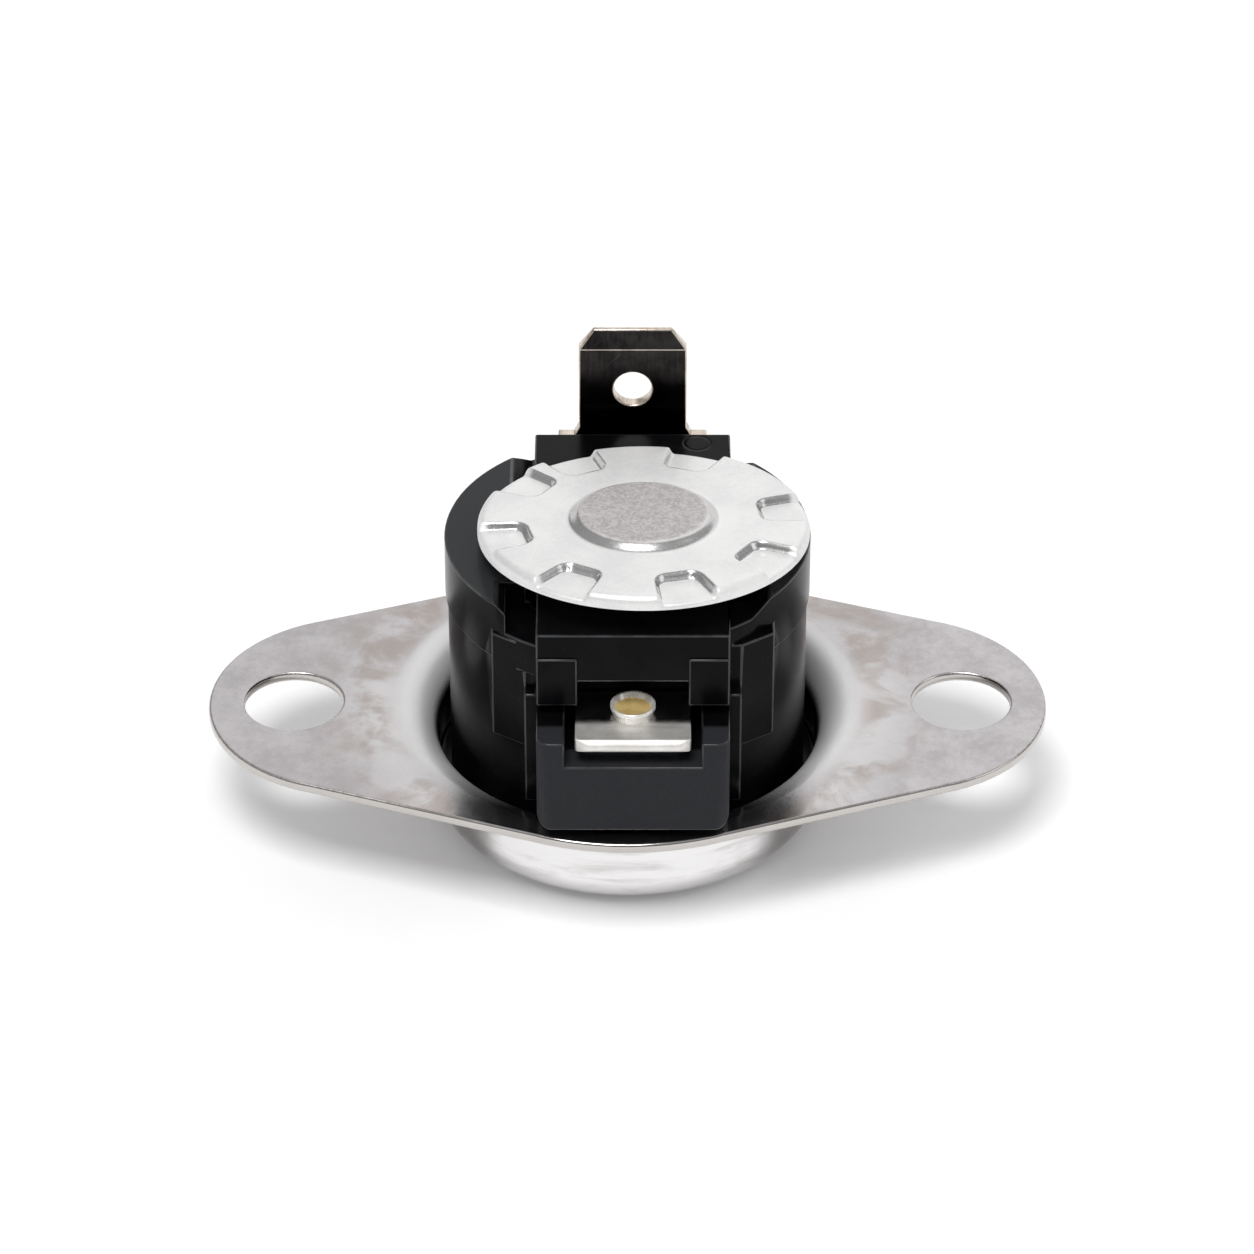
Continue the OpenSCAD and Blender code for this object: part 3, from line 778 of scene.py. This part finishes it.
@dataclass
class PressedCover:
    """Pressed sheet cover with a dome, pockets round its rim and a turned-down edge. Millimetres."""

    radius: float = 9.25
    sheet: float = 0.35
    pocket_depth: float = 0.45
    pocket_angles: Tuple[float, ...] = (9.5, 70, 118.5, 146.5, 193.5, 240, 285.5, 327.5)
    pocket_out_w: float = 3.6
    pocket_out_r: float = 10.25
    pocket_in_w: float = 2.35
    pocket_in_r: float = 6.6
    pocket_corner: float = 0.55
    wall_run: float = 0.3
    dome_foot: float = 4.15
    dome_slope: float = 0.5
    dome_height: float = 0.45
    edge_curl: float = 0.45
    curl_steps: int = 5
    dome_ease: float = 0.12
    smooth_to: float = 60.0
    forward: float = 1.4
    lean: float = 5.5
    lift: float = 0.05
    ring_gap: float = 0.13
    turns: int = 560

    def top(self) -> float:
        """Return the height of the plate's upper side above the cover's own foot."""
        return self.pocket_depth + self.sheet

    def pose(self) -> Matrix:
        """Return the matrix from the cover's own millimetres to the part's metres.

        The cover leans on its back edge, which lies on the rim of the moulding.

        Returns:
            Scale, lean and place in one matrix.
        """
        low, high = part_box("cover_cap")
        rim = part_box("switch_body")[1].z / MM
        sideways = (low.x + high.x) / 2 / MM
        moves = (Matrix.Translation((sideways, self.radius - self.forward, rim + self.lift))
                 @ Matrix.Rotation(-math.radians(self.lean), 4, "X")
                 @ Matrix.Translation((0, -self.radius, 0)))
        return Matrix.Scale(MM, 4) @ moves

    def section(self) -> List[Tuple[float, float]]:
        """Return the upper side's half section, without pockets, from the middle to the skirt.

        Returns:
            Radius and height of each point.
        """
        flat_r = self.radius - self.edge_curl
        rings = round(flat_r / self.ring_gap)
        dome_in = self.dome_foot - self.dome_slope - self.dome_ease
        dome_out = self.dome_foot + self.dome_ease
        points = []
        for ring in range(rings + 1):
            reach = flat_r * ring / rings
            fall = soft_step(reach, dome_in, dome_out)
            points.append((reach, self.top() + self.dome_height * (1 - fall)))
        for step in range(1, self.curl_steps + 1):
            turn = math.radians(90 * step / self.curl_steps)
            points.append((flat_r + self.edge_curl * math.sin(turn),
                           self.top() - self.edge_curl * (1 - math.cos(turn))))
        points.append((self.radius, self.sheet / 2))
        points.append((self.radius, 0.0))
        return points

    def pocket(self, x: float, y: float) -> float:
        """Return how far a point of the plate is pressed down, from 0 to 1.

        Args:
            x: Place on the plate, sideways.
            y: Place on the plate, towards the back.

        Returns:
            The share of the pocket's depth.
        """
        deepest = 0.0
        for angle in self.pocket_angles:
            turn = math.radians(angle)
            out = x * math.cos(turn) + y * math.sin(turn)
            across = abs(y * math.cos(turn) - x * math.sin(turn))
            share = (out - self.pocket_in_r) / (self.pocket_out_r - self.pocket_in_r)
            half = (self.pocket_in_w + (self.pocket_out_w - self.pocket_in_w) * share) / 2
            depths = (out - self.pocket_in_r, half - across)
            inside = min(depths)
            if max(depths) < self.pocket_corner:
                missing = [self.pocket_corner - depth for depth in depths]
                inside = self.pocket_corner - math.hypot(*missing)
            deepest = max(deepest, soft_step(inside, -self.wall_run / 2, self.wall_run / 2))
        return deepest

    def build(self) -> bpy.types.Object:
        """Return the cover, pressed from a spun sheet and leaned into place.

        Returns:
            The dressed cover.
        """
        mesh = lathe(self.section(), self.turns)
        for vert in mesh.verts:
            share = min(1.0, vert.co.z / self.top())
            vert.co.z -= self.pocket_depth * self.pocket(vert.co.x, vert.co.y) * share
        shade(mesh, self.smooth_to)
        pose = self.pose()
        bmesh.ops.transform(mesh, matrix=pose, verts=mesh.verts)
        finish = SatinAluminium(centre=tuple(pose.translation), lean=self.lean,
                                dome_top=self.dome_foot - self.dome_slope, rim_r=self.radius)
        piece = to_object("pressed_cover", mesh, [finish])
        wall = piece.modifiers.new("sheet_thickness", "SOLIDIFY")
        wall.thickness = self.sheet * MM
        wall.offset = -1.0
        return seat(piece, CASE, "bright_aluminium", "cover_cap")


@dataclass
class BladeTerminals:
    """Flat front blade and upright rear blade."""

    edge_round: float = 0.09
    crease_round: float = 0.03
    crease_low: float = 8.0
    crease_high: float = 20.0
    flat_share: float = 0.95

    def front(self) -> bpy.types.Object:
        """Return the bright flat blade.

        Returns:
            The dressed flat blade.
        """
        mesh = softened("front_terminal")
        round_edges(mesh, self.edge_round, self.crease_high)
        piece = to_object("front_blade", mesh, [TinnedBlade()])
        weigh_normals(piece)
        return seat(piece, CASE, "nickel_plate", "front_terminal")

    def rear(self) -> bpy.types.Object:
        """Return the upright blade, painted near-black on its broad faces as a painted dark reflection, and
        bright on its sheared edges and on a thin strip along the tip's bevel crease, which is a painted
        highlight.

        Returns:
            The dressed upright blade.
        """
        mesh = softened("rear_terminal")
        for face in mesh.faces:
            face.material_index = 0 if abs(face.normal.y) > self.flat_share else 1
        round_edges(mesh, self.edge_round, self.crease_high, finish=1)
        # painted highlight: the shallow crease where the tip's bevel meets a broad face is rounded into a
        # thin strip with the bright edge finish
        highlight_creases = [edge for edge in creases(mesh, self.crease_low)
                   if all(face.material_index == 0 for face in edge.link_faces)]
        bevel_strips(mesh, highlight_creases, self.crease_round, 1)
        # painted reflection: the broad faces are near-black, standing in for the dark surroundings that the
        # plated blade mirrors
        faces = WorkedMetal("blade_face_painted_dark_reflection", Metal.DARK_REFLECTION_FACE, (1.0, 1.0, 14.0), 0.06)
        edges = WorkedMetal("sheared_edge_and_crease_highlight", Metal.SHEARED_EDGE_AND_HIGHLIGHT, (1.0, 14.0, 1.0), 0.2)
        piece = to_object("rear_blade", mesh, [faces, edges])
        weigh_normals(piece)
        return seat(piece, CASE, "nickel_plate", "rear_terminal")


@dataclass
class TubularRivet:
    """Tubular rivet with a round head below and a flared mouth above. Millimetres."""

    node: str
    name: str
    shank_d: float = 1.9
    neck_d: float = 2.2
    waist_d: float = 2.24
    flare_d: float = 2.5
    flare_h: float = 0.7
    lip: float = 0.11
    lip_h: float = 0.26
    floor_d: float = 1.95
    floor_deep: float = 0.36
    head_h: float = 0.5
    ease: float = 0.05
    turns: int = 72
    smooth_to: float = 50.0

    def section(self) -> List[Tuple[float, float]]:
        """Return the half section from the head's middle to the floor of the mouth.

        Returns:
            Radius and height of each point.
        """
        low, high = (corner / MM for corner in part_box(self.node))
        head_r = (high.x - low.x) / 2
        shank_r, neck_r, waist_r = self.shank_d / 2, self.neck_d / 2, self.waist_d / 2
        flare_r, floor_r = self.flare_d / 2, self.floor_d / 2
        foot, top, ease = low.z, high.z, self.ease
        plate = top - self.flare_h
        step = top - self.lip_h - 2 * ease
        floor = top - self.floor_deep
        head = [(0.0, foot), (head_r - ease, foot), (head_r, foot + ease), (head_r, foot + self.head_h)]
        shank = [(shank_r, foot + self.head_h), (shank_r, plate), (neck_r, plate),
                 (waist_r - ease / 2, step - ease), (waist_r, step)]
        flare = [(flare_r - ease, step + ease), (flare_r, step + 2 * ease), (flare_r, top - ease),
                 (flare_r - ease, top)]
        mouth = [(flare_r - self.lip, top), (flare_r - self.lip - ease, top - ease), (floor_r, floor + ease),
                 (floor_r - ease, floor), (0.0, floor)]
        return head + shank + flare + mouth

    def build(self) -> bpy.types.Object:
        """Return the rivet, bright outside and brass on the floor of its mouth.

        Returns:
            The dressed rivet.
        """
        low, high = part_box(self.node)
        mesh = lathe(self.section(), self.turns)
        floor = high.z / MM - self.floor_deep
        for face in mesh.faces:
            middle = face.calc_center_median()
            if middle.z > floor - self.ease and math.hypot(middle.x, middle.y) < self.floor_d / 2:
                face.material_index = 1
        shade(mesh, self.smooth_to)
        centre = (low + high) / 2
        place = Matrix.Translation((centre.x, centre.y, 0)) @ Matrix.Scale(MM, 4)
        bmesh.ops.transform(mesh, matrix=place, verts=mesh.verts)
        finishes = [WorkedMetal("bright_rivet", Metal.RIVET, (1.0, 1.0, 1.0), 0.2, 0.5),
                    WorkedMetal("brass_rivet_core", Metal.BRASS, (1.0, 1.0, 1.0), 0.1, 0.3)]
        return seat(to_object(self.name, mesh, finishes), CASE, "rivet_metal", self.node)


@dataclass
class SwitchWorks:
    """Strips, arm, contacts, pin and disc inside the moulding."""

    edge_round: float = 0.04
    disc_keep: float = 0.3
    disc_smooth_to: float = 30.0

    def parts(self) -> List[Tuple[str, str, str, str, Finish]]:
        """Return each solid with its piece's name, body, slot and finish.

        Returns:
            Rows of node, piece, body, slot and finish.
        """
        brass = WorkedMetal("strip_brass_rolled", Metal.BRASS, (1.0, 12.0, 1.0), 0.4)
        bronze = WorkedMetal("spring_bronze_rolled", Metal.BRONZE, (1.0, 12.0, 1.0), 0.4)
        silver = WorkedMetal("contact_silver_button", Metal.SILVER, (1.0, 1.0, 1.0), 0.2)
        return [("arm_bracket", "bracket_strip", CASE, "strip_brass", brass),
                ("fixed_strip", "stepped_strip", CASE, "strip_brass", brass),
                ("fixed_contact", "fixed_button", CASE, "contact_silver", silver),
                ("contact_arm", "leaf_arm", "arm", "spring_bronze", bronze),
                ("moving_contact", "moving_button", "arm", "contact_silver", silver),
                ("transfer_pin", "ceramic_pin", "pin", "white_ceramic", WhiteCeramic())]

    def build(self) -> List[bpy.types.Object]:
        """Return the works, each with its edges eased.

        Returns:
            The dressed pieces, the disc last.
        """
        made = []
        for node, name, body, slot, finish in self.parts():
            mesh = softened(node)
            round_edges(mesh, self.edge_round)
            piece = to_object(name, mesh, [finish])
            weigh_normals(piece)
            made.append(seat(piece, body, slot, node))
        made.append(self.disc())
        return made

    def disc(self) -> bpy.types.Object:
        """Return the dished disc.

        Returns:
            The dressed disc.
        """
        mesh = softened("bimetal_disc")
        shade(mesh, self.disc_smooth_to)
        finish = WorkedMetal("rolled_bimetal", Metal.BIMETAL, (12.0, 1.0, 1.0), 0.4)
        piece = to_object("snap_disc", mesh, [finish])
        seat(piece, CASE, "bimetal", "bimetal_disc")
        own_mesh(piece)
        return piece


@dataclass
class SoftBox:
    """A square studio lamp. Metres and watts."""

    name: str
    place: Tuple[float, float, float]
    size: float
    power: float

    def build(self, aim: Vector) -> None:
        """Hang the lamp at its place and turn it to a point.

        Args:
            aim: Point that the lamp looks at, in metres.
        """
        lamp = bpy.data.lights.new(self.name, "AREA")
        lamp.shape = "SQUARE"
        lamp.size = self.size
        lamp.energy = self.power
        made = bpy.data.objects.new(self.name, lamp)
        made.location = self.place
        made.rotation_mode = "QUATERNION"
        made.rotation_quaternion = (aim - Vector(self.place)).to_track_quat("-Z", "Y")
        bpy.context.scene.collection.objects.link(made)


@dataclass
class Studio:
    """Pale floor, soft lamps, white surroundings and the camera."""

    floor_half: float = 2.0
    distance: float = 310.0
    elevation: float = 34.2
    focal_px: float = 5478.8
    image_px: float = 1254.0
    sensor: float = 36.0
    clip_near: float = 0.01
    clip_far: float = 10.0
    aim: Tuple[float, float, float] = (-0.027, 0.0, 5.683)
    sky: float = 0.40
    horizon: float = 0.25
    dark_side: float = 0.15
    white_to: float = 0.11
    lamps: Tuple[SoftBox, ...] = (
        SoftBox("key_softbox", (-0.09, -0.24, 0.63), 0.28, 2.70),
        SoftBox("back_softbox", (0.15, 0.52, 0.38), 0.62, 0.90),
        SoftBox("side_softbox", (0.50, -0.10, 0.35), 0.35, 0.35))

    def floor(self) -> bpy.types.Object:
        """Return the paper under the lowest point of the object.

        Returns:
            The floor, declared as stage.
        """
        low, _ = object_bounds()
        mesh = bmesh.new()
        bmesh.ops.create_grid(mesh, x_segments=1, y_segments=1, size=self.floor_half)
        bmesh.ops.translate(mesh, vec=(0, 0, low.z), verts=mesh.verts)
        paper = to_object("studio_floor", mesh, [StudioPaper()])
        paper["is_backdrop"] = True
        return paper

    def surroundings(self) -> None:
        """Make the room pale at the back, dark behind the camera and white along the horizon."""
        world = bpy.data.worlds.new("white_room")
        world.use_nodes = True
        graph = Graph(world.node_tree)
        _, y, z = graph.axes(graph.node("ShaderNodeTexCoord", {}, {}, "Generated"))
        front = graph.ramp(y * -1.0 - z * 0.4, 0.1, 0.9)
        tone = graph.blend(graph.ramp(z, 0.05, 0.55), grey(self.horizon), grey(self.sky))
        tone = graph.blend(front, tone, grey(self.dark_side))
        tone = graph.blend(graph.ramp(z, self.white_to, self.white_to + 0.05), grey(1.0), tone)
        graph.close(graph.node("ShaderNodeBackground", {}, {"Color": tone, "Strength": 1.0}))
        bpy.context.scene.world = world

    def camera(self) -> bpy.types.Object:
        """Return the camera at the photograph's angle.

        Returns:
            The scene's camera.
        """
        lens = bpy.data.cameras.new("studio_camera")
        lens.sensor_width = self.sensor
        lens.lens = self.focal_px / self.image_px * self.sensor
        lens.clip_start = self.clip_near
        lens.clip_end = self.clip_far
        made = bpy.data.objects.new("studio_camera", lens)
        rise = math.radians(self.elevation)
        back = Vector((0.0, -math.cos(rise), math.sin(rise)))
        made.location = (Vector(self.aim) + back * self.distance) * MM
        made.rotation_mode = "QUATERNION"
        made.rotation_quaternion = (-back).to_track_quat("-Z", "Y")
        bpy.context.scene.collection.objects.link(made)
        bpy.context.scene.camera = made
        return made

    def build(self) -> None:
        """Set up the whole studio."""
        bpy.context.scene.view_settings.view_transform = "Standard"
        self.camera()
        self.floor()
        self.surroundings()
        for lamp in self.lamps:
            lamp.build(Vector(self.aim) * MM)


def main() -> None:
    """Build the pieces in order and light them."""
    logging.basicConfig(level=logging.INFO, format="%(name)s: %(message)s")
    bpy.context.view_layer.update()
    Studio().build()
    Flange().build()
    MouldedBody().build()
    PressedCover().build()
    blades = BladeTerminals()
    blades.front()
    blades.rear()
    TubularRivet("front_rivet", "front_eyelet").build()
    TubularRivet("rear_rivet", "rear_eyelet").build()
    SwitchWorks().build()


if __name__ == "__main__":
    main()
